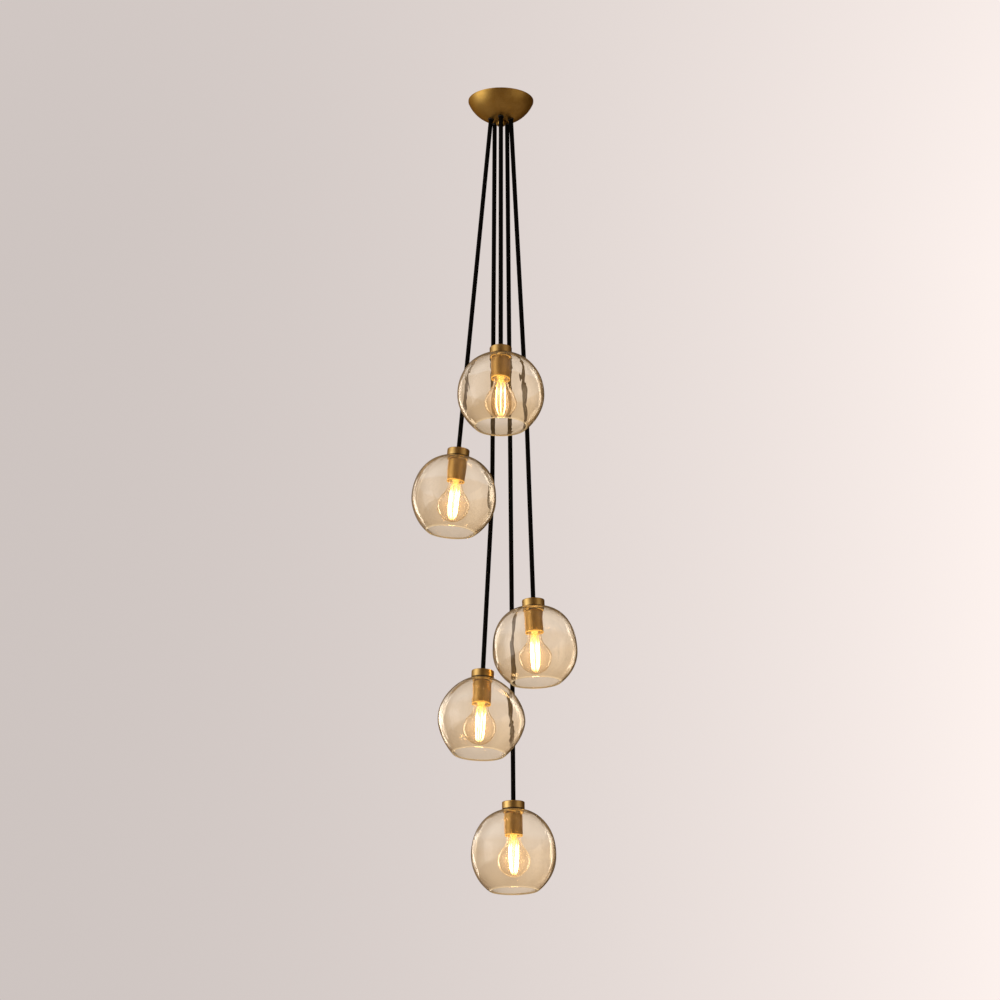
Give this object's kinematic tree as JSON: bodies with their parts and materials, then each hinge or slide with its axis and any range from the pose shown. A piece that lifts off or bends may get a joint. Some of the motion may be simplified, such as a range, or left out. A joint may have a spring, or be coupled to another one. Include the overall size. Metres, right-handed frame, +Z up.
{
  "type": "cluster pendant",
  "caption": "Cluster pendant: small domed canopy, cords of stepped length and uneven blown glass shades open below, each with a capped fitting and a lit screw-in lamp.",
  "frame": {"origin": "middle of the canopy's rim in the plane of the ceiling, between the two box screws", "axes": "+Z up into the ceiling, -Y towards the viewer of the picture, +X to the viewer's right"},
  "size_m": [0.3118, 0.3015, 1.5375],
  "materials": {
    "aged_brass": "satin, aged",
    "plain_brass": "turned, unlacquered",
    "zinc_steel": "zinc plated",
    "black_nylon": "moulded, matt",
    "black_cord": "braided sleeve",
    "black_rubber": "soft washer",
    "smoke_glass": "blown, pale smoky amber",
    "white_porcelain": "glazed",
    "solder": "tinned",
    "nickelled_brass": "rolled thread",
    "clear_glass": "clear",
    "lit_filament": "lit, warm white"
  },
  "bodies": {
    "ceiling_mount": {"canopy": "aged_brass", "cap_nut": "aged_brass", "crossbar": "zinc_steel", "cord_grips": "black_nylon", "cord_tails": "black_cord"},
    "pendant_1": {"cord_1": "black_cord", "cap_1": "aged_brass", "seals_1": "black_rubber", "nipple_1": "plain_brass", "shade_1": "smoke_glass", "socket_cup_1": "aged_brass", "lampholder_1": "white_porcelain"},
    "lamp_travel_1": {"lamp_contact_1": "solder"},
    "lamp_1": {"lamp_base_1": "nickelled_brass", "bulb_1": "clear_glass", "filament_1": "lit_filament"},
    "pendant_2": {"cord_2": "black_cord", "cap_2": "aged_brass", "seals_2": "black_rubber", "nipple_2": "plain_brass", "shade_2": "smoke_glass", "socket_cup_2": "aged_brass", "lampholder_2": "white_porcelain"},
    "lamp_travel_2": {"lamp_contact_2": "solder"},
    "lamp_2": {"lamp_base_2": "nickelled_brass", "bulb_2": "clear_glass", "filament_2": "lit_filament"},
    "pendant_3": {"cord_3": "black_cord", "cap_3": "aged_brass", "seals_3": "black_rubber", "nipple_3": "plain_brass", "shade_3": "smoke_glass", "socket_cup_3": "aged_brass", "lampholder_3": "white_porcelain"},
    "lamp_travel_3": {"lamp_contact_3": "solder"},
    "lamp_3": {"lamp_base_3": "nickelled_brass", "bulb_3": "clear_glass", "filament_3": "lit_filament"},
    "pendant_4": {"cord_4": "black_cord", "cap_4": "aged_brass", "seals_4": "black_rubber", "nipple_4": "plain_brass", "shade_4": "smoke_glass", "socket_cup_4": "aged_brass", "lampholder_4": "white_porcelain"},
    "lamp_travel_4": {"lamp_contact_4": "solder"},
    "lamp_4": {"lamp_base_4": "nickelled_brass", "bulb_4": "clear_glass", "filament_4": "lit_filament"},
    "pendant_5": {"cord_5": "black_cord", "cap_5": "aged_brass", "seals_5": "black_rubber", "nipple_5": "plain_brass", "shade_5": "smoke_glass", "socket_cup_5": "aged_brass", "lampholder_5": "white_porcelain"},
    "lamp_travel_5": {"lamp_contact_5": "solder"},
    "lamp_5": {"lamp_base_5": "nickelled_brass", "bulb_5": "clear_glass", "filament_5": "lit_filament"}
  },
  "joints": [
    {"name": "pendant_swing_1", "type": "hinge", "parent": "ceiling_mount", "child": "pendant_1", "pos_m": [0, -0.02058, -0.04394], "axis": [-1, 0, 0], "range_deg": [0, 35]},
    {"name": "lamp_screw_out_1", "type": "slide", "parent": "pendant_1", "child": "lamp_travel_1", "axis": [-0.0008, -0.0544, -0.9985], "range_m": [0, 0.01815]},
    {"name": "lamp_turn_1", "type": "hinge", "parent": "lamp_travel_1", "child": "lamp_1", "pos_m": [-0.00045, -0.05035, -0.59021], "axis": [-0.0008, -0.0544, -0.9985], "range_deg": [0, 1800]},
    {"name": "pendant_swing_2", "type": "hinge", "parent": "ceiling_mount", "child": "pendant_2", "pos_m": [-0.01957, -0.00636, -0.04394], "axis": [-0.309, 0.9511, 0], "range_deg": [0, 35]},
    {"name": "lamp_screw_out_2", "type": "slide", "parent": "pendant_2", "child": "lamp_travel_2", "axis": [-0.0894, 0.0139, -0.9959], "range_m": [0, 0.01815]},
    {"name": "lamp_turn_2", "type": "hinge", "parent": "lamp_travel_2", "child": "lamp_2", "pos_m": [-0.08531, 0.00386, -0.77585], "axis": [-0.0894, 0.0139, -0.9959], "range_deg": [0, 1800]},
    {"name": "pendant_swing_3", "type": "hinge", "parent": "ceiling_mount", "child": "pendant_3", "pos_m": [0.01957, -0.00636, -0.04394], "axis": [-0.309, -0.9511, 0], "range_deg": [0, 35]},
    {"name": "lamp_screw_out_3", "type": "slide", "parent": "pendant_3", "child": "lamp_travel_3", "axis": [0.0315, -0.0068, -0.9995], "range_m": [0, 0.01815]},
    {"name": "lamp_turn_3", "type": "hinge", "parent": "lamp_travel_3", "child": "lamp_3", "pos_m": [0.06204, 0.01558, -1.06597], "axis": [0.0315, -0.0068, -0.9995], "range_deg": [0, 1800]},
    {"name": "pendant_swing_4", "type": "hinge", "parent": "ceiling_mount", "child": "pendant_4", "pos_m": [-0.0121, 0.01665, -0.04394], "axis": [0.809, 0.5878, 0], "range_deg": [0, 35]},
    {"name": "lamp_screw_out_4", "type": "slide", "parent": "pendant_4", "child": "lamp_travel_4", "axis": [-0.0489, -0.0503, -0.9975], "range_m": [0, 0.01815]},
    {"name": "lamp_turn_4", "type": "hinge", "parent": "lamp_travel_4", "child": "lamp_4", "pos_m": [-0.03651, 0.0329, -1.19685], "axis": [-0.0489, -0.0503, -0.9975], "range_deg": [0, 1800]},
    {"name": "pendant_swing_5", "type": "hinge", "parent": "ceiling_mount", "child": "pendant_5", "pos_m": [0.0121, 0.01665, -0.04394], "axis": [0.809, -0.5878, 0], "range_deg": [0, 35]},
    {"name": "lamp_screw_out_5", "type": "slide", "parent": "pendant_5", "child": "lamp_travel_5", "axis": [0.0064, 0.001, -1], "range_m": [0, 0.01815]},
    {"name": "lamp_turn_5", "type": "hinge", "parent": "lamp_travel_5", "child": "lamp_5", "pos_m": [0.0233, 0.09036, -1.4326], "axis": [0.0064, 0.001, -1], "range_deg": [0, 1800]}
  ],
  "couplings": [
    {"joint": "lamp_screw_out_1", "follows": "lamp_turn_1", "m_per_rad": 0.00057757},
    {"joint": "lamp_screw_out_2", "follows": "lamp_turn_2", "m_per_rad": 0.00057757},
    {"joint": "lamp_screw_out_3", "follows": "lamp_turn_3", "m_per_rad": 0.00057757},
    {"joint": "lamp_screw_out_4", "follows": "lamp_turn_4", "m_per_rad": 0.00057757},
    {"joint": "lamp_screw_out_5", "follows": "lamp_turn_5", "m_per_rad": 0.00057757}
  ]
}
